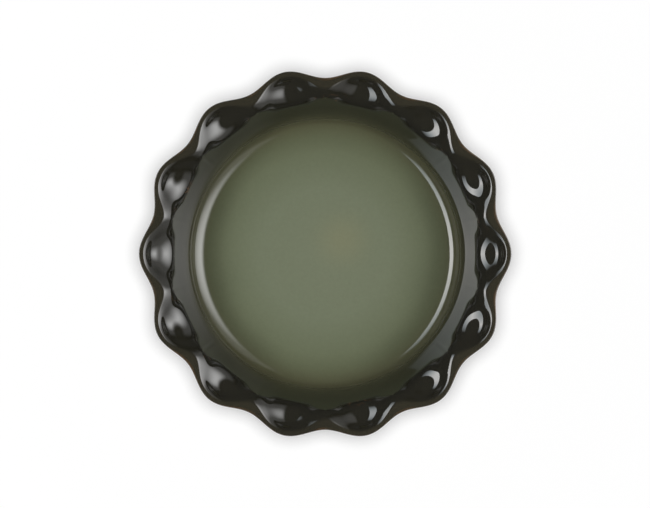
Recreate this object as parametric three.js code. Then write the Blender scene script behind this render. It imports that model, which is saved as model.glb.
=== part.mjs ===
// A round stoneware pie dish with a fluted rim: a clay body under five coats of glaze.
// Millimetres, +Z up. The origin is on the table under the dish's centre, and a flute points to +X.
// The finished surface is one section swept round the axis. At every angle the section is a blend of
// two drawn ones: through the middle of a flute, and through the pinch between two flutes.
import * as THREE from 'three';

// Driving dimensions
const FLUTES = 14;
const STEPS_PER_FLUTE = 8;
const GLAZE = 0.5;
const WALL_THICKNESS = 6.5;

// Inside of the well: a flat floor, a rounded corner and a straight wall
const FLOOR_RADIUS = 90.7;
const FLOOR_HEIGHT = 8;
const CORNER_REACH = 14.9;
const CORNER_RISE = 10;
const CORNER_FLOOR_PULL = 8.3;
const CORNER_WALL_PULL = 4.7;
const WALL_SLOPE = 68.3;

// Rim sections. Each named point has its place out from the wall's foot and up from it, a slope in degrees
// that rises outward, and the lengths of the curve's pulls toward the axis (inner) and away from it (outer).
// The lip's height follows from the wall's slope.
//   lip: where the wall turns over      bed: bottom of the scoop      brow: where the scoop turns over
//   crest: highest point                edge: outermost point         hem: foot of the outer edge
//   under: beneath the bed
const FLUTE = {
  lip: { out: 7.9, outer: 3.3 },
  bed: { out: 19, up: 26.85, slope: 10.5, inner: 6.5, outer: 8.2 },
  brow: { out: 30, up: 33.9, slope: 33, inner: 4.5, outer: 1.3 },
  crest: { out: 33.3, up: 34.9, slope: 0, inner: 1.3, outer: 0.7 },
  edge: { out: 34.4, up: 33.6, upper: 0.7, lower: 1.5 },
  hem: { out: 31.8, up: 30, slope: 45, inner: 4.5, outer: 1.5 },
  under: { out: 20.4, up: 20.9, slope: 12, inner: 3.4, outer: 5.5 },
};
const PINCH = {
  lip: { out: 11.2, outer: 2.3 },
  bed: { out: 14.2, up: 31.9, slope: 44, inner: 1.2, outer: 1.2 },
  brow: { out: 17.4, up: 34.2, slope: 27, inner: 1.3, outer: 2.2 },
  crest: { out: 23.6, up: 35.8, slope: 0, inner: 2.2, outer: 2.3 },
  edge: { out: 26.6, up: 34.3, upper: 0.8, lower: 2.6 },
  hem: { out: 23.7, up: 29.4, slope: 15, inner: 1.6, outer: 1.6 },
  under: { out: 18.7, up: 27.3, slope: 42, inner: 0.6, outer: 0.8 },
};
// How fast a scoop closes from the flute's middle, and the share of the pitch where the lip steps up
const SCOOP_POWER = 1.12;
const LIP_STEP_START = 0.5;
const LIP_STEP_END = 1.03;

// Underside: the foot ring with its bare lower face, just outside the floor's edge, the shelf and rounded
// heel round it, and the recess inside it
const FOOT_OUTSET = 1.3;
const FOOT_WIDTH = 7;
const FOOT_BEVEL = 0.8;
const BARE_HEIGHT = 0.8;
const RECESS_HEIGHT = 2;
const SHELF_WIDTH = 2;
const SHELF_HEIGHT = 1.8;
const HEEL_WALL_PULL = 7;
const HEEL_BASE_PULL = 10;

// Rows of the swept surface between the named points
const CORNER_ROWS = 3;
const SCOOP_ROWS = 3;
const BROW_ROWS = 3;
const HEEL_ROWS = 3;

const stations = FLUTES * STEPS_PER_FLUTE;
const wallFoot = new THREE.Vector2(FLOOR_RADIUS + CORNER_REACH, FLOOR_HEIGHT + CORNER_RISE);
const footOuter = FLOOR_RADIUS + FOOT_OUTSET;
const footInner = footOuter - FOOT_WIDTH;
const radians = THREE.MathUtils.degToRad;
const lerp = THREE.MathUtils.lerp;

function along(point, slope, distance) {
  const angle = radians(slope);
  return new THREE.Vector2(point.x + Math.cos(angle) * distance, point.y + Math.sin(angle) * distance);
}

function blend(name, weight) {
  const point = {};
  for (const key of Object.keys(FLUTE[name])) {
    point[key] = lerp(PINCH[name][key], FLUTE[name][key], weight);
  }
  point.at = new THREE.Vector2(wallFoot.x + point.out, wallFoot.y + point.up);
  return point;
}

function curve(start, startPull, endPull, end, rows) {
  const points = new THREE.CubicBezierCurve(start, startPull, endPull, end).getPoints(rows);
  return points.slice(1);
}

// The curve between two named points, walked outward or back toward the axis
function outward(from, to, rows) {
  const leave = along(from.at, from.slope, from.outer);
  const arrive = along(to.at, to.slope, -to.inner);
  return curve(from.at, leave, arrive, to.at, rows);
}

function inward(from, to, rows) {
  const leave = along(from.at, from.slope, -from.inner);
  const arrive = along(to.at, to.slope, to.outer);
  return curve(from.at, leave, arrive, to.at, rows);
}

// The finished section at one angle: the rows of the surface from the floor's edge, over the rim, to the base
function section(angle) {
  const swell = (1 + Math.cos(FLUTES * angle)) / 2;
  const scoop = swell ** SCOOP_POWER;
  const lipWeight = 1 - THREE.MathUtils.smoothstep(1 - swell, LIP_STEP_START, LIP_STEP_END);

  const floorEdge = new THREE.Vector2(FLOOR_RADIUS, FLOOR_HEIGHT);
  const lip = blend('lip', lipWeight);
  lip.slope = WALL_SLOPE;
  lip.at.y = wallFoot.y + lip.out * Math.tan(radians(WALL_SLOPE));
  const bed = blend('bed', scoop);
  const brow = blend('brow', swell);
  const crest = blend('crest', swell);
  const edge = blend('edge', swell);
  const hem = blend('hem', swell);
  const under = blend('under', scoop);
  const edgeTop = new THREE.Vector2(edge.at.x, edge.at.y + edge.upper);
  const edgeBottom = new THREE.Vector2(edge.at.x, edge.at.y - edge.lower);
  const neck = along(lip.at, WALL_SLOPE - 90, WALL_THICKNESS);
  const heel = along(wallFoot, WALL_SLOPE - 90, WALL_THICKNESS);
  const shelf = new THREE.Vector2(footOuter + SHELF_WIDTH, SHELF_HEIGHT);

  return {
    corner: [
      floorEdge,
      ...curve(floorEdge, along(floorEdge, 0, CORNER_FLOOR_PULL),
        along(wallFoot, WALL_SLOPE, -CORNER_WALL_PULL), wallFoot, CORNER_ROWS),
    ],
    lip: [lip.at],
    rim: [
      ...outward(lip, bed, SCOOP_ROWS),
      ...outward(bed, brow, BROW_ROWS),
      ...outward(brow, crest, 1),
      ...curve(crest.at, along(crest.at, 0, crest.outer), edgeTop, edge.at, 1),
      ...curve(edge.at, edgeBottom, along(hem.at, hem.slope, hem.outer), hem.at, 1),
    ],
    outside: [
      ...inward(hem, under, 1),
      neck,
      heel,
      ...curve(heel, along(heel, WALL_SLOPE, -HEEL_WALL_PULL),
        along(shelf, 0, HEEL_BASE_PULL), shelf, HEEL_ROWS),
      new THREE.Vector2(footOuter + FOOT_BEVEL, SHELF_HEIGHT),
      new THREE.Vector2(footOuter, BARE_HEIGHT),
    ],
    foot: [
      new THREE.Vector2(footOuter - FOOT_BEVEL, 0),
      new THREE.Vector2(footInner + FOOT_BEVEL, 0),
    ],
    base: [
      new THREE.Vector2(footInner, BARE_HEIGHT),
      new THREE.Vector2(footInner - FOOT_BEVEL, RECESS_HEIGHT),
    ],
  };
}

// Rings of the finished surface, row by row, and the row at which each stretch of the section starts
const sections = Array.from({ length: stations }, (_, i) => section((2 * Math.PI * i) / stations));
const stretchStart = {};
const finished = [];
for (const stretch of Object.keys(sections[0])) {
  stretchStart[stretch] = finished.length;
  sections[0][stretch].forEach((_, row) => {
    finished.push(sections.map((drawn, i) => {
      const angle = (2 * Math.PI * i) / stations;
      const point = drawn[stretch][row];
      return new THREE.Vector3(point.x * Math.cos(angle), point.x * Math.sin(angle), point.y);
    }));
  });
}
const floorCentre = new THREE.Vector3(0, 0, FLOOR_HEIGHT);
const baseCentre = new THREE.Vector3(0, 0, RECESS_HEIGHT);

// The clay lies one coat below the finished surface, except on the bare foot
function clayPoint(row, i) {
  const here = finished[row][i];
  const before = row > 0 ? finished[row - 1][i] : floorCentre;
  const after = row < finished.length - 1 ? finished[row + 1][i] : baseCentre;
  const last = finished[row][(i + stations - 1) % stations];
  const next = finished[row][(i + 1) % stations];
  const entering = here.clone().sub(before).normalize();
  const leaving = after.clone().sub(here).normalize();
  const normal = entering.add(leaving).cross(next.clone().sub(last)).normalize();
  return here.clone().addScaledVector(normal, -GLAZE);
}

const bareStart = stretchStart.foot;
const bareEnd = stretchStart.base;
const clay = finished.map((ring, row) => {
  const bare = row >= bareStart && row < bareEnd;
  return ring.map((point, i) => (bare ? point : clayPoint(row, i)));
});
const clayFloorCentre = new THREE.Vector3(0, 0, FLOOR_HEIGHT - GLAZE);
const clayBaseCentre = new THREE.Vector3(0, 0, RECESS_HEIGHT + GLAZE);

// Collects rings of points and the triangles between them
class Skin {
  constructor() {
    this.positions = [];
    this.indices = [];
  }

  add(points) {
    const first = this.positions.length / 3;
    for (const point of points) {
      this.positions.push(point.x, point.y, point.z);
    }
    return points.map((_, i) => first + i);
  }

  triangle(a, b, c, inside) {
    if (inside) {
      this.indices.push(a, c, b);
    } else {
      this.indices.push(a, b, c);
    }
  }

  strip(from, to, inside = false) {
    for (let i = 0; i < stations; i += 1) {
      const next = (i + 1) % stations;
      this.triangle(from[i], to[i], to[next], inside);
      this.triangle(from[i], to[next], from[next], inside);
    }
  }

  fan(centre, ring, inside = false) {
    for (let i = 0; i < stations; i += 1) {
      this.triangle(centre, ring[i], ring[(i + 1) % stations], inside);
    }
  }

  strips(rings, inside = false) {
    for (let row = 1; row < rings.length; row += 1) {
      this.strip(rings[row - 1], rings[row], inside);
    }
  }

  geometry() {
    const geometry = new THREE.BufferGeometry();
    geometry.setAttribute('position', new THREE.Float32BufferAttribute(this.positions, 3));
    geometry.setIndex(this.indices);
    geometry.computeVertexNormals();
    return geometry;
  }
}

function bodyGeometry() {
  const skin = new Skin();
  const [top] = skin.add([clayFloorCentre]);
  const [bottom] = skin.add([clayBaseCentre]);
  const rings = clay.map((ring) => skin.add(ring));
  skin.fan(top, rings[0]);
  skin.strips(rings);
  skin.fan(bottom, rings[rings.length - 1], true);
  return skin.geometry();
}

// A coat that rings the dish, between two rows of the section
function coatGeometry(firstRow, lastRow) {
  const skin = new Skin();
  const outer = finished.slice(firstRow, lastRow + 1).map((ring) => skin.add(ring));
  const inner = clay.slice(firstRow, lastRow + 1).map((ring) => skin.add(ring));
  skin.strips(outer);
  skin.strips(inner, true);
  skin.strip(outer[0], inner[0], true);
  skin.strip(outer[outer.length - 1], inner[inner.length - 1]);
  return skin.geometry();
}

function floorGeometry() {
  const skin = new Skin();
  const [outerCentre] = skin.add([floorCentre]);
  const [innerCentre] = skin.add([clayFloorCentre]);
  const outer = skin.add(finished[0]);
  const inner = skin.add(clay[0]);
  skin.fan(outerCentre, outer);
  skin.fan(innerCentre, inner, true);
  skin.strip(outer, inner);
  return skin.geometry();
}

function baseGeometry() {
  const skin = new Skin();
  const [outerCentre] = skin.add([baseCentre]);
  const [innerCentre] = skin.add([clayBaseCentre]);
  const outer = finished.slice(stretchStart.base).map((ring) => skin.add(ring));
  const inner = clay.slice(stretchStart.base).map((ring) => skin.add(ring));
  skin.strips(outer);
  skin.strips(inner, true);
  skin.strip(outer[0], inner[0], true);
  skin.fan(outerCentre, outer[outer.length - 1], true);
  skin.fan(innerCentre, inner[inner.length - 1]);
  return skin.geometry();
}

function piece(name, geometry, color, roughness) {
  const material = new THREE.MeshStandardMaterial({ color, roughness, metalness: 0 });
  const mesh = new THREE.Mesh(geometry, material);
  mesh.name = name;
  return mesh;
}

const lipRow = stretchStart.lip;
const hemRow = stretchStart.outside - 1;
const outsideEndRow = stretchStart.foot - 1;

const dish = new THREE.Group();
dish.name = 'pie_dish';
dish.add(
  piece('stoneware_body', bodyGeometry(), 0xc9b596, 0.85),
  piece('floor_glaze', floorGeometry(), 0x717763, 0.12),
  piece('wall_glaze', coatGeometry(0, lipRow), 0x45462f, 0.12),
  piece('rim_glaze', coatGeometry(lipRow, hemRow), 0x28271f, 0.1),
  piece('outside_glaze', coatGeometry(hemRow, outsideEndRow), 0x28271f, 0.12),
  piece('base_glaze', baseGeometry(), 0x2c2b22, 0.15),
);

export default dish;
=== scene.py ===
import math

import bpy
import numpy as np
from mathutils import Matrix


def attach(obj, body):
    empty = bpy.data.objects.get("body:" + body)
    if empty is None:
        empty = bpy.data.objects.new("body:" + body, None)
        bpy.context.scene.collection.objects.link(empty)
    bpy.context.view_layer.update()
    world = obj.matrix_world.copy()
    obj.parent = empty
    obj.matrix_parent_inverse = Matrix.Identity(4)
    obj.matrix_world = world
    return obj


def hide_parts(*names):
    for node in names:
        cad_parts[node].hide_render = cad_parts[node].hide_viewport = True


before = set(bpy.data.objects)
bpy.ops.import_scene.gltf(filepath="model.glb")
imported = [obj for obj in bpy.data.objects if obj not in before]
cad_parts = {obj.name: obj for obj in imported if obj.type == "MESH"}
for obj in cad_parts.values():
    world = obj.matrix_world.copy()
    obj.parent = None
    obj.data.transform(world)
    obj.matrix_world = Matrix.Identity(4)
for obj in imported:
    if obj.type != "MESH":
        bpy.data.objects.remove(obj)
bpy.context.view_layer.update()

# A stoneware pie dish with a fluted rim. Its sizes are in millimetres, as in the CAD source, and its slopes
# in degrees from level. A section through it lies in (r, z): out from the axis, and up from the table.
MM = 0.001
FLUTES = 14
STEPS_PER_FLUTE = 32
STATIONS = FLUTES * STEPS_PER_FLUTE
GLAZE = 0.5
WALL_THICKNESS = 6.5

# The floor, the wall, and the corner between them
FLOOR_RADIUS = 86.9
FLOOR_HEIGHT = 8.0
CORNER_REACH = 17.2
CORNER_RISE = 8.4
CORNER_FLOOR_PULL = 10.4
CORNER_WALL_PULL = 4.5
WALL_FOOT_SLOPE = 66.5
WALL_LIP_SLOPE = 68.0
WALL_SLOPE = (WALL_FOOT_SLOPE + WALL_LIP_SLOPE) / 2
WALL_FOOT = np.array([FLOOR_RADIUS + CORNER_REACH, FLOOR_HEIGHT + CORNER_RISE])

# Rim sections through the middle of a flute, half-way down its flank and through a pinch: each point's place
# out and up from the wall's foot, its slope, and the pulls of the curve on its inner and outer side
FLUTE = {
    "lip": {"out": 9.3, "outer": 3.5},
    "bed": {"out": 20.9, "up": 29.4, "slope": 14.5, "inner": 6.7, "outer": 9.8},
    "brow": {"out": 31.2, "up": 36.6, "slope": 36.0, "inner": 4.9, "outer": 1.8},
    "crest": {"out": 33.9, "up": 37.3, "inner": 1.9},
    "edge": {"out": 35.7, "up": 35.5, "lower": 1.5},
    "hem": {"out": 33.3, "up": 31.6, "slope": 45.0, "inner": 4.5, "outer": 1.5},
    "under": {"out": 21.9, "up": 22.5, "slope": 12.0, "inner": 3.4, "outer": 5.5},
}
FLANK = {
    "bed": {"out": 18.1, "up": 31.6, "slope": 28.5, "inner": 3.0, "outer": 6.2},
    "brow": {"out": 26.4, "up": 36.1, "slope": 27.5, "inner": 2.2, "outer": 1.8},
    "crest": {"out": 30.3, "up": 36.9, "inner": 2.3},
}
PINCH = {
    "lip": {"out": 13.3, "outer": 0.6},
    "bed": {"out": 13.8, "up": 32.2, "slope": 50.0, "inner": 1.6, "outer": 1.2},
    "brow": {"out": 18.9, "up": 36.4, "slope": 36.5, "inner": 2.3, "outer": 1.5},
    "crest": {"out": 25.5, "up": 37.2, "inner": 2.4},
    "edge": {"out": 28.0, "up": 35.3, "lower": 2.6},
    "hem": {"out": 25.2, "up": 31.0, "slope": 15.0, "inner": 1.6, "outer": 1.6},
    "under": {"out": 20.2, "up": 28.9, "slope": 42.0, "inner": 0.6, "outer": 0.8},
}
EDGE_ROUND = 0.7
EDGE_OUT_PULL = 0.45
EDGE_DOWN_SHARE = 0.7

# The lip steps from flute to pinch between these shares of the way there
LIP_STEP = (0.5, 1.05)

# How far the section's turning is spread out at the lip, in the scoop and at the brow, and the stretches past
# the lip and back from the crest over which the scoop's spread takes over
LIP_SMOOTHING = 0.8
SCOOP_SMOOTHING = 1.7
BROW_SMOOTHING = 0.4
SCOOP_PAST_LIP = (3.0, 7.0)
SCOOP_FROM_CREST = (3.0, 8.0)
SPREAD_WIDTHS = 4

# The wall's outer face, the foot ring, and the recess inside it
NECK_UNDER_SHARE = 0.45
NECK_WALL_PULL = 1.6
HEEL_WALL_PULL = 7.0
HEEL_BASE_PULL = 10.0
FOOT_PAST_FLOOR = 5.1
FOOT_WIDTH = 7.0
FOOT_OUTER = FLOOR_RADIUS + FOOT_PAST_FLOOR
FOOT_INNER = FOOT_OUTER - FOOT_WIDTH
FOOT_BEVEL = 0.8
FOOT_ROUND = 0.6
BARE_HEIGHT = 0.8
SHELF_WIDTH = 2.0
SHELF_HEIGHT = 1.8
SHELF_ROUND = 0.5
SHELF = np.array([FOOT_OUTER + SHELF_WIDTH, SHELF_HEIGHT])
RECESS_HEIGHT = 2.0
RECESS_RUN = 6.0

# A rounding takes up no more than this share of the straight on either side of it
ROUND_SHARE = 0.45

# Rows of points on each stretch of the section, and steps of the curves that are smoothed first
CORNER_ROWS = 22
WALL_ROWS = 14
WALL_ROWS_CROWDING = 1.6
RIM_ROWS = 64
BRIM_ROWS = 3
EDGE_ROWS = 9
BENEATH_ROWS = 12
NECK_ROWS = 8
OUTER_WALL_ROWS = 8
HEEL_ROWS = 14
ROUND_ROWS = 5
HIDDEN_ROW_STEP = 4
CLIMB_STEPS = 24
SCOOP_STEPS = 60
BROW_STEPS = 30
EASED_STEPS = 240
DISC_SHARES = (0.93, 0.84, 0.72, 0.58, 0.42, 0.24, 0.1)

LEVEL = 0.0
UPRIGHT = 90.0
UP = np.array([0.0, 0.0, 1.0])
angles = 2.0 * math.pi * np.arange(STATIONS) / STATIONS


def smoothstep(x, low, high):
    t = np.clip((x - low) / (high - low), 0.0, 1.0)
    return t * t * (3.0 - 2.0 * t)


def direction(degrees):
    angle = np.radians(degrees)
    return np.stack([np.cos(angle), np.sin(angle)], axis=-1)


def along(at, slope, distance):
    """The point at a distance from another, up a slope."""
    return at + direction(slope) * np.asarray(distance)[..., None]


def everywhere(point):
    return np.broadcast_to(np.asarray(point, float), (STATIONS, 2))


def ring(points):
    """The same section points at all stations."""
    points = np.asarray(points, float)
    return np.broadcast_to(points[:, None, :], (len(points), STATIONS, 2))


def bezier(p0, p1, p2, p3, rows):
    """Points of a cubic curve after its first, for all stations at once: rows, stations, (r, z)."""
    t = np.linspace(0.0, 1.0, rows + 1)[1:, None, None]
    return (1 - t) ** 3 * p0 + 3 * t * (1 - t) ** 2 * p1 + 3 * t * t * (1 - t) * p2 + t ** 3 * p3


def line(p0, p1, rows):
    t = np.linspace(0.0, 1.0, rows + 1)[1:, None, None]
    return p0 + (p1 - p0) * t


def rounded(corners, radius):
    """A path through corners, each inner one turned through a short curve."""
    out = []
    for before, corner, after in zip(corners[:-2], corners[1:-1], corners[2:]):
        back = np.linalg.norm(before - corner)
        ahead = np.linalg.norm(after - corner)
        reach = min(radius, ROUND_SHARE * back, ROUND_SHARE * ahead)
        start = corner + (before - corner) / back * reach
        end = corner + (after - corner) / ahead * reach
        t = np.linspace(0.0, 1.0, ROUND_ROWS)[:, None]
        out.append((1 - t) ** 2 * start + 2 * t * (1 - t) * corner + t * t * end)
    return np.concatenate(out)


def run_of(rows):
    """How far along each station's section each row lies from the first."""
    steps = np.linalg.norm(np.diff(rows, axis=0), axis=-1)
    return np.concatenate([np.zeros((1, STATIONS)), np.cumsum(steps, axis=0)])


def resample(path, marks):
    """Points of each station's path at the given shares of its length."""
    run = run_of(path)
    at = marks * run[-1]
    out = np.empty((len(marks), STATIONS, 2))
    for i in range(STATIONS):
        for axis in range(2):
            out[:, i, axis] = np.interp(at[:, i], run[:, i], path[:, i, axis])
    return out


def spread(values, width):
    """Values smoothed over a width in steps, as if they went on unchanged past their ends."""
    reach = int(SPREAD_WIDTHS * width) + 1
    kernel = np.exp(-0.5 * (np.arange(-reach, reach + 1) / width) ** 2)
    padded = np.concatenate([np.full(reach, values[0]), values, np.full(reach, values[-1])])
    return np.convolve(padded, kernel / kernel.sum(), mode="valid")


def eased(path, lip_share):
    """Each station's path with its turning spread out, less at the lip and near its end. Both ends stay."""
    shares = np.linspace(0.0, 1.0, EASED_STEPS + 1)
    even = resample(path, shares[:, None])
    step = run_of(path)[-1] / EASED_STEPS
    legs = np.diff(even, axis=0)
    turn = np.unwrap(np.arctan2(legs[..., 1], legs[..., 0]), axis=0)
    middles = np.arange(EASED_STEPS) + 0.5
    for i in range(STATIONS):
        past_lip = (middles - lip_share[i] * EASED_STEPS) * step[i]
        from_crest = (EASED_STEPS - middles) * step[i]
        lip = spread(turn[:, i], LIP_SMOOTHING / step[i])
        scoop = spread(turn[:, i], SCOOP_SMOOTHING / step[i])
        brow = spread(turn[:, i], BROW_SMOOTHING / step[i])
        inner = lip + (scoop - lip) * smoothstep(past_lip, *SCOOP_PAST_LIP)
        turn[:, i] = brow + (inner - brow) * smoothstep(from_crest, *SCOOP_FROM_CREST)
    legs = np.stack([np.cos(turn), np.sin(turn)], axis=-1) * step[None, :, None]
    out = np.concatenate([even[:1], even[:1] + np.cumsum(legs, axis=0)])
    miss = even[-1] - out[-1]
    return out + miss * shares[:, None, None]


def blend(name, weight):
    """A section point from pinch, weight 0, to flute, weight 1, by way of the flank if it is keyed there."""
    bow = 2.0 * weight - 1.0
    point = {}
    for key, flute in FLUTE[name].items():
        pinch = PINCH[name][key]
        flank = FLANK[name][key] if name in FLANK else (pinch + flute) / 2
        ends = flute * weight * bow - pinch * (1.0 - weight) * bow
        point[key] = ends + 4.0 * flank * weight * (1.0 - weight)
    if "up" in point:
        point["at"] = WALL_FOOT + np.stack([point["out"], point["up"]], axis=-1)
    return point


def keyed_points():
    """The rim's points at all stations. The lip lies on the wall's line."""
    swell = (1.0 + np.cos(FLUTES * angles)) / 2.0
    points = {name: blend(name, swell) for name in ("bed", "brow", "crest", "edge", "hem", "under")}
    lip = blend("lip", 1.0 - smoothstep(1.0 - swell, *LIP_STEP))
    rise = lip["out"] * math.tan(math.radians(WALL_SLOPE))
    lip["at"] = WALL_FOOT + np.stack([lip["out"], rise], axis=-1)
    points["lip"] = lip
    return points


def corner_rows():
    floor_edge = everywhere((FLOOR_RADIUS, FLOOR_HEIGHT))
    wall_foot = everywhere(WALL_FOOT)
    corner = bezier(floor_edge, along(floor_edge, LEVEL, CORNER_FLOOR_PULL),
                    along(wall_foot, WALL_FOOT_SLOPE, -CORNER_WALL_PULL), wall_foot, CORNER_ROWS)
    return np.concatenate([floor_edge[None], corner])


def inside_rows(points):
    """Rows up the wall, rows from the lip to the crest, and the brow's share of the way from lip to crest."""
    lip, bed, brow, crest = (points[name] for name in ("lip", "bed", "brow", "crest"))
    wall_foot = everywhere(WALL_FOOT)
    third = np.linalg.norm(lip["at"] - wall_foot, axis=-1) / 3
    climb = bezier(wall_foot, along(wall_foot, WALL_FOOT_SLOPE, third),
                   along(lip["at"], WALL_LIP_SLOPE, -third), lip["at"], CLIMB_STEPS)
    turn_over = bezier(lip["at"], along(lip["at"], WALL_LIP_SLOPE, lip["outer"]),
                       along(bed["at"], bed["slope"], -bed["inner"]), bed["at"], SCOOP_STEPS)
    scoop_out = bezier(bed["at"], along(bed["at"], bed["slope"], bed["outer"]),
                       along(brow["at"], brow["slope"], -brow["inner"]), brow["at"], SCOOP_STEPS)
    over = bezier(brow["at"], along(brow["at"], brow["slope"], brow["outer"]),
                  along(crest["at"], LEVEL, -crest["inner"]), crest["at"], BROW_STEPS)
    drawn = np.concatenate([wall_foot[None], climb, turn_over, scoop_out, over])
    run = run_of(drawn)
    lip_share = run[len(climb)] / run[-1]
    brow_share = run[-1 - len(over)] / run[-1]
    smooth = eased(drawn, lip_share)
    up_wall = 1.0 - (1.0 - np.linspace(0.0, 1.0, WALL_ROWS + 1)[1:, None]) ** WALL_ROWS_CROWDING
    over_rim = np.linspace(0.0, 1.0, RIM_ROWS + 1)[1:, None]
    wall = resample(smooth, up_wall * lip_share)
    rim = resample(smooth, lip_share + over_rim * (1.0 - lip_share))
    return wall, rim, (brow_share - lip_share) / (1.0 - lip_share)


def rim_rows(points, inner, brow_share):
    """Rows from the lip over the brim and round the edge to the hem, and how far past the brow they lie."""
    edge, hem = points["edge"], points["hem"]
    brim = np.stack([edge["at"][:, 0] - EDGE_ROUND, inner[-1][:, 1]], axis=-1)
    fall = brim[:, 1] - edge["at"][:, 1]
    over_brim = line(inner[-1], brim, BRIM_ROWS)
    outer_edge = bezier(brim, along(brim, LEVEL, EDGE_OUT_PULL),
                        along(edge["at"], UPRIGHT, EDGE_DOWN_SHARE * fall), edge["at"], EDGE_ROWS)
    lower_edge = bezier(edge["at"], along(edge["at"], UPRIGHT, -edge["lower"]),
                        along(hem["at"], hem["slope"], hem["outer"]), hem["at"], EDGE_ROWS)
    rim = np.concatenate([inner, over_brim, outer_edge, lower_edge])
    run = run_of(rim)
    brow_run = brow_share * run[len(inner) - 1]
    edge_run = run[len(rim) - len(lower_edge) - 1]
    return rim, np.minimum((run - brow_run) / (edge_run - brow_run), 1.0)


def outside_rows(points):
    """Rows from the hem under the rim and down the wall's outer face to the bare foot."""
    hem, under = points["hem"], points["under"]
    neck = along(points["lip"]["at"], WALL_SLOPE - UPRIGHT, WALL_THICKNESS)
    heel = along(everywhere(WALL_FOOT), WALL_SLOPE - UPRIGHT, WALL_THICKNESS)
    shelf = everywhere(SHELF)
    beneath = bezier(hem["at"], along(hem["at"], hem["slope"], -hem["inner"]),
                     along(under["at"], under["slope"], under["outer"]), under["at"], BENEATH_ROWS)
    to_neck = bezier(under["at"], along(under["at"], under["slope"], -NECK_UNDER_SHARE * under["inner"]),
                     along(neck, WALL_SLOPE, NECK_WALL_PULL), neck, NECK_ROWS)
    outer_wall = line(neck, heel, OUTER_WALL_ROWS)
    to_shelf = bezier(heel, along(heel, WALL_SLOPE, -HEEL_WALL_PULL),
                      along(shelf, LEVEL, HEEL_BASE_PULL), shelf, HEEL_ROWS)
    bare_edge = (FOOT_OUTER, BARE_HEIGHT)
    on_bevel = (FOOT_OUTER - FOOT_BEVEL / 3, BARE_HEIGHT / 3)
    shelf_end = (FOOT_OUTER + FOOT_BEVEL, SHELF_HEIGHT)
    to_foot = rounded(np.array([SHELF, shelf_end, bare_edge, on_bevel]), SHELF_ROUND)[1:ROUND_ROWS + 1]
    return np.concatenate([beneath, to_neck, outer_wall, to_shelf, ring(to_foot), ring([bare_edge])])


def foot_rows():
    return ring(rounded(np.array([(FOOT_OUTER, BARE_HEIGHT), (FOOT_OUTER - FOOT_BEVEL, 0.0),
                                  (FOOT_INNER + FOOT_BEVEL, 0.0), (FOOT_INNER, BARE_HEIGHT)]), FOOT_ROUND))


def base_rows():
    bare_edge = (FOOT_INNER, BARE_HEIGHT)
    into_recess = rounded(np.array([bare_edge, (FOOT_INNER - FOOT_BEVEL, RECESS_HEIGHT),
                                    (FOOT_INNER - RECESS_RUN, RECESS_HEIGHT)]), FOOT_ROUND)
    return np.concatenate([ring([bare_edge]), ring(into_recess)])


def finished_section():
    """All rows from floor to recess, by stretch, and how far past the brow the rim's rows lie."""
    points = keyed_points()
    wall, inner_rim, brow_share = inside_rows(points)
    rim, past_brow = rim_rows(points, inner_rim, brow_share)
    stretches = {
        "corner": corner_rows(),
        "wall": wall,
        "rim": rim,
        "outside": outside_rows(points),
        "foot": foot_rows(),
        "base": base_rows(),
    }
    return stretches, past_brow


def spun(rows):
    """Section rows turned round the axis: rows, stations, (x, y, z)."""
    return np.stack([rows[..., 0] * np.cos(angles), rows[..., 0] * np.sin(angles), rows[..., 1]], axis=-1)


def unit(vectors):
    return vectors / np.linalg.norm(vectors, axis=-1, keepdims=True)


section, past_brow = finished_section()
starts = {}
row_count = 0
for stretch, rows in section.items():
    starts[stretch] = row_count
    row_count += len(rows)
finished = spun(np.concatenate(list(section.values())))
floor_centre = UP * FLOOR_HEIGHT
base_centre = UP * RECESS_HEIGHT

before = np.concatenate([np.broadcast_to(floor_centre, (1, STATIONS, 3)), finished[:-1]])
after = np.concatenate([finished[1:], np.broadcast_to(base_centre, (1, STATIONS, 3))])
around = np.roll(finished, -1, axis=1) - np.roll(finished, 1, axis=1)
normals = unit(np.cross(unit(finished - before) + unit(after - finished), around))
clay = finished - normals * GLAZE
bare = slice(starts["foot"], starts["base"])
clay[bare] = finished[bare]

# How tightly the finished surface bulges, per millimetre: glaze runs thin there when it melts
turn_down = np.einsum("...k,...k", unit(after - finished) - unit(finished - before), -normals)
spacing = 0.5 * (np.linalg.norm(after - finished, axis=-1) + np.linalg.norm(finished - before, axis=-1))
beside = np.roll(finished, -1, axis=1) - finished
turn_beside = np.einsum("...k,...k", unit(beside) - unit(np.roll(beside, 1, axis=1)), -normals)
bulge = turn_down / spacing + turn_beside / np.linalg.norm(beside, axis=-1)
bulge[:starts["wall"]] = 0.0
bulge[starts["foot"]:] = 0.0

# The rim's ridge from its brow, 0, to its outer edge, 1, and fading out beneath it over some millimetres
RIDGE_FADE = 5.0
NO_RIDGE = -1.0
ridge = np.full(finished.shape[:2], NO_RIDGE)
ridge[starts["rim"]:starts["outside"]] = past_brow
ridge[starts["outside"]:starts["foot"]] = 1.0 - run_of(section["outside"]) / RIDGE_FADE


def mesh_object(name, points, point_normals, faces, values_at_points):
    """A smooth mesh in metres, with its own normals and named values at its points."""
    mesh = bpy.data.meshes.new(name)
    mesh.from_pydata((points * MM).tolist(), [], faces)
    mesh.polygons.foreach_set("use_smooth", [True] * len(mesh.polygons))
    for key, values in values_at_points.items():
        attribute = mesh.attributes.new(key, "FLOAT", "POINT")
        attribute.data.foreach_set("value", np.asarray(values, np.float32))
    mesh.validate()
    mesh.normals_split_custom_set_from_vertices(point_normals.tolist())
    mesh.update()
    item = bpy.data.objects.new(name, mesh)
    bpy.context.scene.collection.objects.link(item)
    return item


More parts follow.
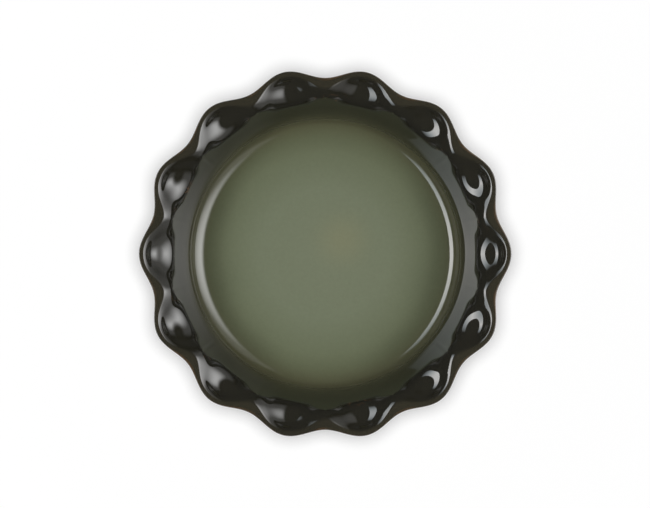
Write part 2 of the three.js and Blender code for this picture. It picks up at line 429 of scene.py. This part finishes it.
class Shell:
    """Rings of points, each with a normal, and the faces between them."""

    def __init__(self):
        self.points = []
        self.normals = []
        self.bulges = []
        self.ridges = []
        self.faces = []
        self.count = 0

    def add(self, points, normal, row=None):
        """Add a ring, with the bulge and ridge of a row of the section where it is one that shows."""
        first = self.count
        self.points.append(points)
        self.normals.append(normal)
        self.bulges.append(np.zeros(len(points)) if row is None else bulge[row])
        self.ridges.append(np.full(len(points), NO_RIDGE) if row is None else ridge[row])
        self.count += len(points)
        return np.arange(first, self.count)

    def strip(self, a, b, flip=False):
        next_a = np.roll(a, -1)
        next_b = np.roll(b, -1)
        quads = [a, next_a, next_b, b] if flip else [a, b, next_b, next_a]
        self.faces.extend(np.stack(quads, axis=1).tolist())

    def strips(self, rings, flip=False):
        for a, b in zip(rings[:-1], rings[1:]):
            self.strip(a, b, flip)

    def fan(self, centre, ring_points, flip=False):
        next_points = np.roll(ring_points, -1)
        hub = np.full(len(ring_points), centre)
        triangles = [hub, next_points, ring_points] if flip else [hub, ring_points, next_points]
        self.faces.extend(np.stack(triangles, axis=1).tolist())

    def make(self, name):
        points = np.concatenate(self.points)
        point_normals = np.concatenate(self.normals)
        values = {"bulge": np.concatenate(self.bulges), "ridge": np.concatenate(self.ridges)}
        return mesh_object(name, points, point_normals, self.faces, values)


def hidden_rows(first, last):
    """Rows enough for the unseen face between glaze and clay."""
    return list(range(first, last, HIDDEN_ROW_STEP)) + [last]


def facing(sign, count):
    return np.broadcast_to(UP * sign, (count, 3))


def disc(shell, ring_points, centre, sign, flip):
    """A flat disc inside a ring, in steps toward its centre."""
    rings = [shell.add(ring_points, facing(sign, STATIONS))]
    for share in DISC_SHARES:
        rings.append(shell.add(centre + (ring_points - centre) * share, facing(sign, STATIONS)))
    hub = shell.add(centre[None], facing(sign, 1))[0]
    for outer, inner in zip(rings[:-1], rings[1:]):
        shell.strip(inner, outer, flip)
    shell.fan(hub, rings[-1], flip)


def cap(shell, a_points, b_points, flip):
    """The end of a coat, with its own points so that it stays crisp."""
    across = np.cross(b_points - a_points, np.roll(a_points, -1, axis=0) - a_points)
    face = unit(across) * (-1.0 if flip else 1.0)
    a = shell.add(a_points, face)
    b = shell.add(b_points, face)
    shell.strip(a, b, flip)


def coat(name, first, last):
    shell = Shell()
    outer = [shell.add(finished[row], normals[row], row) for row in range(first, last + 1)]
    inner = [shell.add(clay[row], -normals[row]) for row in hidden_rows(first, last)]
    shell.strips(outer)
    shell.strips(inner, True)
    cap(shell, finished[first], clay[first], True)
    cap(shell, finished[last], clay[last], False)
    return shell.make(name)


def floor_coat():
    shell = Shell()
    disc(shell, finished[0], floor_centre, 1.0, False)
    disc(shell, clay[0], floor_centre - UP * GLAZE, -1.0, True)
    cap(shell, finished[0], clay[0], False)
    return shell.make("floor_coat")


def base_coat():
    first = starts["base"]
    shell = Shell()
    outer = [shell.add(finished[row], normals[row]) for row in range(first, row_count)]
    inner = [shell.add(clay[row], -normals[row]) for row in range(first, row_count)]
    shell.strips(outer)
    shell.strips(inner, True)
    cap(shell, finished[first], clay[first], True)
    disc(shell, finished[-1], base_centre, -1.0, True)
    disc(shell, clay[-1], base_centre + UP * GLAZE, 1.0, False)
    return shell.make("base_coat")


def clay_body():
    shell = Shell()
    disc(shell, clay[0], floor_centre - UP * GLAZE, 1.0, False)
    rows = hidden_rows(0, starts["foot"] - 1) + list(range(starts["foot"], row_count))
    shell.strips([shell.add(clay[row], normals[row]) for row in rows])
    disc(shell, clay[-1], base_centre + UP * GLAZE, -1.0, True)
    return shell.make("clay_body")


lip_row = starts["rim"] - 1
hem_row = starts["outside"] - 1
outside_end_row = starts["foot"] - 1
pieces = {
    "stoneware_body": (clay_body(), "clay"),
    "floor_glaze": (floor_coat(), "floor_glaze"),
    "wall_glaze": (coat("wall_coat", 0, lip_row), "wall_glaze"),
    "rim_glaze": (coat("rim_coat", lip_row, hem_row), "rim_glaze"),
    "outside_glaze": (coat("outside_coat", hem_row, outside_end_row), "outside_glaze"),
    "base_glaze": (base_coat(), "base_glaze"),
}


class Nodes:
    """Short calls for building a material's node tree."""

    def __init__(self, material):
        material.use_nodes = True
        self.tree = material.node_tree
        self.bsdf = self.tree.nodes["Principled BSDF"]

    def new(self, kind, **settings):
        node = self.tree.nodes.new(kind)
        for key, value in settings.items():
            setattr(node, key, value)
        return node

    def put(self, value, socket):
        if isinstance(value, bpy.types.NodeSocket):
            self.tree.links.new(value, socket)
        else:
            socket.default_value = value

    def math(self, operation, a, b=0.0):
        node = self.new("ShaderNodeMath", operation=operation)
        self.put(a, node.inputs[0])
        self.put(b, node.inputs[1])
        return node.outputs[0]

    def vector(self, operation, a, b, output):
        node = self.new("ShaderNodeVectorMath", operation=operation)
        self.put(a, node.inputs[0])
        self.put(b, node.inputs[1])
        return node.outputs[output]

    def ease(self, value, low, high, to_low=0.0, to_high=1.0):
        node = self.new("ShaderNodeMapRange", interpolation_type="SMOOTHSTEP")
        self.put(value, node.inputs["Value"])
        for key, number in (("From Min", low), ("From Max", high), ("To Min", to_low), ("To Max", to_high)):
            self.put(number, node.inputs[key])
        return node.outputs["Result"]

    def noise(self, where, scale, detail, roughness, distortion=0.0):
        node = self.new("ShaderNodeTexNoise")
        self.put(where, node.inputs["Vector"])
        self.put(scale, node.inputs["Scale"])
        self.put(detail, node.inputs["Detail"])
        self.put(roughness, node.inputs["Roughness"])
        self.put(distortion, node.inputs["Distortion"])
        return node.outputs["Fac"]

    def mix(self, share, a, b, blend_type="MIX"):
        node = self.new("ShaderNodeMix", data_type="RGBA", blend_type=blend_type)
        self.put(share, node.inputs["Factor"])
        self.put(a, node.inputs["A"])
        self.put(b, node.inputs["B"])
        return node.outputs["Result"]

    def ramp(self, value, stops):
        node = self.new("ShaderNodeValToRGB")
        self.put(value, node.inputs["Fac"])
        elements = node.color_ramp.elements
        while len(elements) < len(stops):
            elements.new(0.5)
        for element, (position, colour) in zip(elements, stops):
            element.position = position
            element.color = (*colour, 1.0)
        return node.outputs["Color"]

    def bump(self, height, strength, distance):
        node = self.new("ShaderNodeBump")
        self.put(strength, node.inputs["Strength"])
        self.put(distance, node.inputs["Distance"])
        self.put(height, node.inputs["Height"])
        return node.outputs["Normal"]

    def value_at_points(self, name):
        return self.new("ShaderNodeAttribute", attribute_name=name).outputs["Fac"]

    def place(self):
        return self.new("ShaderNodeTexCoord").outputs["Object"]

    def radius(self, place):
        flat = self.vector("MULTIPLY", place, (1.0, 1.0, 0.0), "Vector")
        return self.vector("LENGTH", flat, (0.0, 0.0, 0.0), "Value")


# Glaze colour by radius in millimetres: from the middle of the floor up the wall, and over the rim
WELL_STOPS = (
    (0, (0.165, 0.184, 0.121)),
    (50, (0.158, 0.177, 0.115)),
    (78, (0.131, 0.147, 0.089)),
    (90, (0.105, 0.115, 0.066)),
    (99, (0.086, 0.087, 0.048)),
    (103, (0.065, 0.063, 0.035)),
    (107, (0.023, 0.0205, 0.0125)),
    (111, (0.0055, 0.002, 0.0012)),
    (118, (0.006, 0.0025, 0.0015)),
)
RIM_STOPS = (
    (113, (0.0125, 0.0118, 0.0085)),
    (121, (0.018, 0.017, 0.012)),
    (140, (0.018, 0.0165, 0.0115)),
)
RIM_RADIUS = 140.0
DARK = (0.02, 0.019, 0.013, 1.0)
DARK_GREEN = (0.026, 0.026, 0.017, 1.0)
RIDGE_BROWN = (0.0305, 0.0272, 0.0175, 1.0)
EDGE_BROWN = (0.075, 0.0445, 0.021, 1.0)
RUST = (0.062, 0.036, 0.019, 1.0)
# A painted reflection of the camera on the floor: where it lies, how far it reaches, and the warm, lightening
# tint it multiplies in
CAMERA_REFLECTION_PLACE = (13.0 * MM, 11.0 * MM, FLOOR_HEIGHT * MM)
CAMERA_REFLECTION_REACH = 29.0 * MM
CAMERA_REFLECTION_TINT = (1.13, 1.06, 1.0, 1.0)

# The glaze's noise patterns: cells per metre, detail, roughness and, where there is any, distortion
DRIFT = (22.0, 3.0, 0.55)
MOTTLE = (420.0, 2.0, 0.6)
CLOUD = (12.0, 2.0, 0.5)
SPOT = (30.0, 3.0, 0.6, 0.4)
THREAD = (75.0, 1.0, 0.4, 1.4)
STREAK = (26.0, 1.0, 0.5)
RIPPLE = (70.0, 2.0, 0.4)

# How they show: wander is a share of the rim's radius, and a range runs from no effect to the full one
COLOUR_WANDER = 0.022
MOTTLE_CONTRAST = 0.12
DARK_CLOUDS = (0.35, 0.7)
RIDGE_CLOUDS = (0.3, 0.55)
RIDGE_LEAST = 0.45
BARE_SPOTS = (0.34, 0.6)
STREAK_PLACES = (0.49, 0.63)
STREAK_WIDTH = (0.03, 0.006)
LIP_BULGE = (0.02, 0.1)

# Stretches of the ridge, from where an effect starts to where it is full
RIDGE_STRETCH = (-0.1, 0.3)
EDGE_STRETCH = (0.58, 0.82)
LIP_STRETCH = (-0.2, -0.7)

# Gloss of the glaze, and the faint ripple in it
GLAZE_IOR = 1.5
GLAZE_ROUGHNESS = 0.02
GLAZE_ROUGHNESS_DRIFT = 0.02
GLOSS_CLOUDS = (0.3, 0.75)
WORN_ROUGHNESS = 0.2
COAT_ROUGHNESS = 0.02
RIPPLE_STRENGTH = 0.035
RIPPLE_DEPTH = 0.4 * MM


def radial_colour(n, place, drift, stops):
    """Colour by radius, wandering a little, with a painted reflection of the camera: a faint warm, lighter
    patch on the floor.
    """
    radius = n.math("MULTIPLY", n.radius(place), 1.0 / (RIM_RADIUS * MM))
    wander = n.math("MULTIPLY", n.math("SUBTRACT", drift, 0.5), COLOUR_WANDER)
    colour = n.ramp(n.math("ADD", radius, wander), [(r / RIM_RADIUS, tint) for r, tint in stops])
    # Painted reflection of the camera: the floor's colour is lifted and warmed near this place
    camera_reflection = n.ease(n.vector("DISTANCE", place, CAMERA_REFLECTION_PLACE, "Value"), CAMERA_REFLECTION_REACH, 0.0)
    return n.mix(camera_reflection, colour, CAMERA_REFLECTION_TINT, "MULTIPLY")


def mottled(n, place, colour):
    """Colour with a fine mottle of light and dark."""
    mottle = n.math("SUBTRACT", n.noise(place, *MOTTLE), 0.5)
    tone = n.math("ADD", n.math("MULTIPLY", mottle, MOTTLE_CONTRAST), 1.0)
    shade = n.new("ShaderNodeCombineXYZ")
    for socket in shade.inputs:
        n.put(tone, socket)
    return n.mix(1.0, colour, shade.outputs[0], "MULTIPLY")


def lip_streaks(n, place, ridge_value):
    """Fine threads along the lip, here and there, where the glaze runs thin."""
    threads = n.math("ABSOLUTE", n.math("SUBTRACT", n.noise(place, *THREAD), 0.5))
    places = n.ease(n.noise(place, *STREAK), *STREAK_PLACES)
    streaks = n.math("MULTIPLY", n.ease(threads, *STREAK_WIDTH), places)
    bulging = n.ease(n.value_at_points("bulge"), *LIP_BULGE)
    lip = n.math("MULTIPLY", bulging, n.ease(ridge_value, *LIP_STRETCH))
    return n.math("MULTIPLY", lip, streaks)


def glaze(name, stops=None):
    """A coat of glaze, coloured by radius where stops are given and dark elsewhere, brown on edges."""
    material = bpy.data.materials.new(name)
    n = Nodes(material)
    place = n.place()
    drift = n.noise(place, *DRIFT)
    if stops:
        colour = radial_colour(n, place, drift, stops)
    else:
        colour = n.mix(n.ease(drift, *DARK_CLOUDS), DARK, DARK_GREEN)
    colour = mottled(n, place, colour)

    ridge_value = n.value_at_points("ridge")
    clouds = n.ease(n.noise(place, *CLOUD), *RIDGE_CLOUDS, RIDGE_LEAST, 1.0)
    thin = n.math("MULTIPLY", n.ease(ridge_value, *RIDGE_STRETCH), clouds)
    colour = n.mix(thin, colour, RIDGE_BROWN)
    spots = n.ease(n.noise(place, *SPOT), *BARE_SPOTS)
    worn = n.math("MULTIPLY", n.ease(ridge_value, *EDGE_STRETCH), spots)
    colour = n.mix(worn, colour, EDGE_BROWN)
    colour = n.mix(lip_streaks(n, place, ridge_value), colour, RUST)
    n.put(colour, n.bsdf.inputs["Base Color"])

    drifting = n.math("MULTIPLY", n.ease(drift, *GLOSS_CLOUDS), GLAZE_ROUGHNESS_DRIFT)
    gloss = n.math("ADD", drifting, GLAZE_ROUGHNESS)
    n.put(n.math("ADD", gloss, n.math("MULTIPLY", worn, WORN_ROUGHNESS)), n.bsdf.inputs["Roughness"])
    n.put(GLAZE_IOR, n.bsdf.inputs["IOR"])
    n.put(1.0, n.bsdf.inputs["Coat Weight"])
    n.put(COAT_ROUGHNESS, n.bsdf.inputs["Coat Roughness"])
    n.put(GLAZE_IOR, n.bsdf.inputs["Coat IOR"])
    ripple = n.bump(n.noise(place, *RIPPLE), RIPPLE_STRENGTH, RIPPLE_DEPTH)
    n.put(ripple, n.bsdf.inputs["Normal"])
    n.put(ripple, n.bsdf.inputs["Coat Normal"])
    return material


# Bare clay: its colours, its noise patterns as above, and its grain
CLAY_BUFF = (0.6, 0.475, 0.325, 1.0)
CLAY_BROWN = (0.5, 0.385, 0.25, 1.0)
CLAY_SPECK = (0.2, 0.13, 0.08, 1.0)
CLAY_PALE = (0.7, 0.58, 0.43, 1.0)
CLAY_CLOUD = (40.0, 3.0, 0.55)
CLAY_DOT = (650.0, 1.0, 0.4)
CLAY_GRAIN = (900.0, 4.0, 0.7)
CLAY_CLOUDS = (0.3, 0.7)
CLAY_SPECKS = (0.66, 0.72)
CLAY_SPECK_SHARE = 0.7
CLAY_PALE_SHARE = 0.25
CLAY_ROUGHNESS = 0.85
CLAY_IOR = 1.45
CLAY_GRAIN_STRENGTH = 0.35
CLAY_GRAIN_DEPTH = 0.4 * MM


def bare_clay(name):
    material = bpy.data.materials.new(name)
    n = Nodes(material)
    place = n.place()
    grain = n.noise(place, *CLAY_GRAIN)
    clouds = n.ease(n.noise(place, *CLAY_CLOUD), *CLAY_CLOUDS)
    colour = n.mix(clouds, CLAY_BUFF, CLAY_BROWN)
    specks = n.ease(n.noise(place, *CLAY_DOT), *CLAY_SPECKS)
    colour = n.mix(n.math("MULTIPLY", specks, CLAY_SPECK_SHARE), colour, CLAY_SPECK)
    pale = n.ease(grain, *CLAY_CLOUDS, 0.0, CLAY_PALE_SHARE)
    n.put(n.mix(pale, colour, CLAY_PALE), n.bsdf.inputs["Base Color"])
    n.put(CLAY_ROUGHNESS, n.bsdf.inputs["Roughness"])
    n.put(CLAY_IOR, n.bsdf.inputs["IOR"])
    n.put(n.bump(grain, CLAY_GRAIN_STRENGTH, CLAY_GRAIN_DEPTH), n.bsdf.inputs["Normal"])
    return material


materials = {
    "clay": bare_clay("bare_clay"),
    "floor_glaze": glaze("floor_glaze_gloss", WELL_STOPS),
    "wall_glaze": glaze("wall_glaze_gloss", WELL_STOPS),
    "rim_glaze": glaze("rim_glaze_gloss", RIM_STOPS),
    "outside_glaze": glaze("outside_glaze_gloss"),
    "base_glaze": glaze("base_glaze_gloss"),
}
for node, (piece, slot) in pieces.items():
    piece.data.materials.append(materials[slot])
    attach(piece, "root")
    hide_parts(node)

# The studio, in metres. A panel's edges are given by their elevation in degrees seen from the dish, and what
# lies on it by shares: up its height, from 0 to 1, and along it, from 0 in its middle to 1 at its ends.
LEFT = -1
RIGHT = 1
WHITE = (1.0, 1.0, 1.0, 1.0)
STRIP_LOW = 36.4
STRIP_HIGH = 57.2
STRIP_DISTANCE = 1.1
STRIP_HALF = 0.89
STRIP_STRENGTH = 5.6
STRIP_DIMMING = 0.975
STRIP_COOLING = (0.25, 1.0)
STRIP_COOL = (0.86, 0.95, 1.0, 1.0)
STRIP_WARM = (1.0, 0.995, 0.985, 1.0)

SOFTBOX_LOW = 12.4
SOFTBOX_HIGH = 76.7
SOFTBOX_DISTANCE = 1.0
SOFTBOX_HALF = 1.5
SOFTBOX_LOWER_FADE = (0.095, 0.13)
SOFTBOX_UPPER_FADE = (0.98, 0.73)
CORE_CENTRE = 0.67
CORE_HALF_HEIGHT = 0.86
CORE_HALF_LENGTH = 0.37
CORE_FADE = (1.0, -0.12)
CORE_STRENGTH = 4.0
HALO_FADE = (0.8, 0.38)
HALO_STRENGTH = 0.44

FLOOR_HALF = 30.0
FLOOR_DROP = 0.0002
FLOOR_PALE = 0.75
FLOOR_GLOW = 0.254
FLOOR_LAMP_WIDTH = 0.68
FLOOR_LAMP_WATTS = 22.5
FILL_WIDTH = 0.3
FILL_WATTS = 3.1
FILL_ASIDE = 0.82
FILL_BACK = -0.15
FILL_HEIGHT = 0.68
FILL_LEAN = 12.0
FILL_TILT = 50.0
WORLD_STRENGTH = 0.04

# The photograph's frame and the dish's centre in it, in pixels, and the camera straight above
IMAGE_WIDTH = 650
IMAGE_HEIGHT = 508
CENTRE_PIXEL_X = 325.18
CENTRE_PIXEL_Y = 253.84
CAMERA_HEIGHT = 1.5
CAMERA_LENS = 106.9
CAMERA_SENSOR = 36.0

scene = bpy.context.scene
dish_lit = bpy.data.collections.new("lit_by_panels")
for piece, _ in pieces.values():
    dish_lit.objects.link(piece)


def panel(name, side, low, high, distance, half):
    """A flat studio panel facing the dish: its nodes, its emission, and the shares up it and along it."""
    far_x, far_z = direction(low) * distance
    near_x, near_z = direction(high) * distance
    corners = [(side * far_x, -half, far_z), (side * near_x, -half, near_z),
               (side * near_x, half, near_z), (side * far_x, half, far_z)]
    mesh = bpy.data.meshes.new(name)
    mesh.from_pydata(corners, [], [(0, 1, 2, 3)])
    uv = mesh.uv_layers.new(name="panel")
    for corner, at in zip(uv.data, ((0, 0), (1, 0), (1, 1), (0, 1))):
        corner.uv = at
    item = bpy.data.objects.new(name, mesh)
    scene.collection.objects.link(item)
    item.visible_camera = False
    item.visible_shadow = False
    item.light_linking.receiver_collection = dish_lit
    material = bpy.data.materials.new(name)
    n = Nodes(material)
    n.tree.nodes.remove(n.bsdf)
    split = n.new("ShaderNodeSeparateXYZ")
    n.put(n.new("ShaderNodeTexCoord").outputs["UV"], split.inputs[0])
    up = split.outputs["X"]
    away = n.math("ABSOLUTE", n.math("SUBTRACT", n.math("MULTIPLY", split.outputs["Y"], 2.0), 1.0))
    emission = n.new("ShaderNodeEmission")
    n.put(emission.outputs[0], n.tree.nodes["Material Output"].inputs["Surface"])
    mesh.materials.append(material)
    return n, emission, up, away


def left_light():
    """A crisp strip light, brighter toward its middle, cooler where it is dimmer."""
    n, emission, _, away = panel("left_strip", LEFT, STRIP_LOW, STRIP_HIGH, STRIP_DISTANCE, STRIP_HALF)
    share = n.math("SUBTRACT", 1.0, n.math("MULTIPLY", away, STRIP_DIMMING))
    n.put(n.math("MULTIPLY", share, STRIP_STRENGTH), emission.inputs["Strength"])
    n.put(n.mix(n.ease(share, *STRIP_COOLING), STRIP_COOL, STRIP_WARM), emission.inputs["Color"])


def right_light():
    """A large dim panel with a soft round bright middle."""
    n, emission, up, away = panel("right_softbox", RIGHT, SOFTBOX_LOW, SOFTBOX_HIGH,
                                  SOFTBOX_DISTANCE, SOFTBOX_HALF)
    edges = n.math("MULTIPLY", n.ease(up, *SOFTBOX_LOWER_FADE), n.ease(up, *SOFTBOX_UPPER_FADE))
    over = n.math("DIVIDE", n.math("SUBTRACT", up, CORE_CENTRE), CORE_HALF_HEIGHT)
    aside = n.math("DIVIDE", away, CORE_HALF_LENGTH)
    squares = n.math("ADD", n.math("MULTIPLY", over, over), n.math("MULTIPLY", aside, aside))
    core = n.math("MULTIPLY", n.ease(n.math("SQRT", squares), *CORE_FADE), CORE_STRENGTH)
    halo = n.math("MULTIPLY", n.ease(away, *HALO_FADE), HALO_STRENGTH)
    n.put(n.math("MULTIPLY", n.math("ADD", core, halo), edges), emission.inputs["Strength"])
    n.put(WHITE, emission.inputs["Color"])


def floor_plane():
    """A pale floor, whose glow makes up for the lamp's falling off with distance where it is seen."""
    half = FLOOR_HALF
    corners = [(-half, -half, 0), (half, -half, 0), (half, half, 0), (-half, half, 0)]
    mesh = bpy.data.meshes.new("studio_floor")
    mesh.from_pydata(corners, [], [(0, 1, 2, 3)])
    item = bpy.data.objects.new("studio_floor", mesh)
    item.location.z = -FLOOR_DROP
    scene.collection.objects.link(item)
    material = bpy.data.materials.new("studio_floor")
    n = Nodes(material)
    n.put((FLOOR_PALE, FLOOR_PALE, FLOOR_PALE, 1.0), n.bsdf.inputs["Base Color"])
    n.put(1.0, n.bsdf.inputs["Roughness"])
    n.put(0.0, n.bsdf.inputs["Specular IOR Level"])
    n.put(WHITE, n.bsdf.inputs["Emission Color"])
    rays = n.new("ShaderNodeLightPath").outputs
    mirrored = n.math("MAXIMUM", rays["Is Glossy Ray"], rays["Is Transmission Ray"])
    seen = n.math("MAXIMUM", rays["Is Camera Ray"], mirrored)
    steps_out = n.math("DIVIDE", n.radius(n.place()), CAMERA_HEIGHT)
    lit = n.math("POWER", n.math("ADD", n.math("MULTIPLY", steps_out, steps_out), 1.0), -2.0)
    unlit = n.math("MULTIPLY", n.math("SUBTRACT", 1.0, lit), FLOOR_PALE)
    glow = n.math("ADD", n.math("MULTIPLY", unlit, seen), FLOOR_GLOW)
    n.put(glow, n.bsdf.inputs["Emission Strength"])
    mesh.materials.append(material)
    return item


def lamp(name, width, watts):
    """A soft round lamp that isn't mirrored in the dish."""
    data = bpy.data.lights.new(name, "AREA")
    data.shape = "DISK"
    data.size = width
    data.energy = watts
    item = bpy.data.objects.new(name, data)
    item.visible_glossy = False
    scene.collection.objects.link(item)
    return item


def floor_lamp(floor):
    """A lamp overhead, for the floor alone: the dish's shadow lies close round it."""
    item = lamp("floor_lamp", FLOOR_LAMP_WIDTH, FLOOR_LAMP_WATTS)
    item.location.z = CAMERA_HEIGHT
    lit = bpy.data.collections.new("lit_by_floor_lamp")
    lit.objects.link(floor)
    item.light_linking.receiver_collection = lit
    item.light_linking.blocker_collection = dish_lit


def fill_lamp(name, side):
    """A lamp beside the dish that only brightens its colour."""
    item = lamp(name, FILL_WIDTH, FILL_WATTS)
    item.location = (side * FILL_ASIDE, FILL_BACK, FILL_HEIGHT)
    item.rotation_euler = (math.radians(FILL_LEAN), side * math.radians(FILL_TILT), 0.0)
    item.light_linking.receiver_collection = dish_lit


left_light()
right_light()
floor_lamp(floor_plane())
fill_lamp("left_fill", LEFT)
fill_lamp("right_fill", RIGHT)
world = bpy.data.worlds.new("studio")
world.use_nodes = True
world.node_tree.nodes["Background"].inputs["Color"].default_value = WHITE
world.node_tree.nodes["Background"].inputs["Strength"].default_value = WORLD_STRENGTH
scene.world = world

camera = bpy.data.objects.new("camera", bpy.data.cameras.new("camera"))
camera.data.sensor_width = CAMERA_SENSOR
camera.data.lens = CAMERA_LENS
camera.data.shift_x = (IMAGE_WIDTH / 2 - CENTRE_PIXEL_X) / IMAGE_WIDTH
camera.data.shift_y = (CENTRE_PIXEL_Y - IMAGE_HEIGHT / 2) / IMAGE_WIDTH
camera.location = (0.0, 0.0, CAMERA_HEIGHT)
scene.collection.objects.link(camera)
scene.camera = camera
scene.view_settings.view_transform = "Standard"
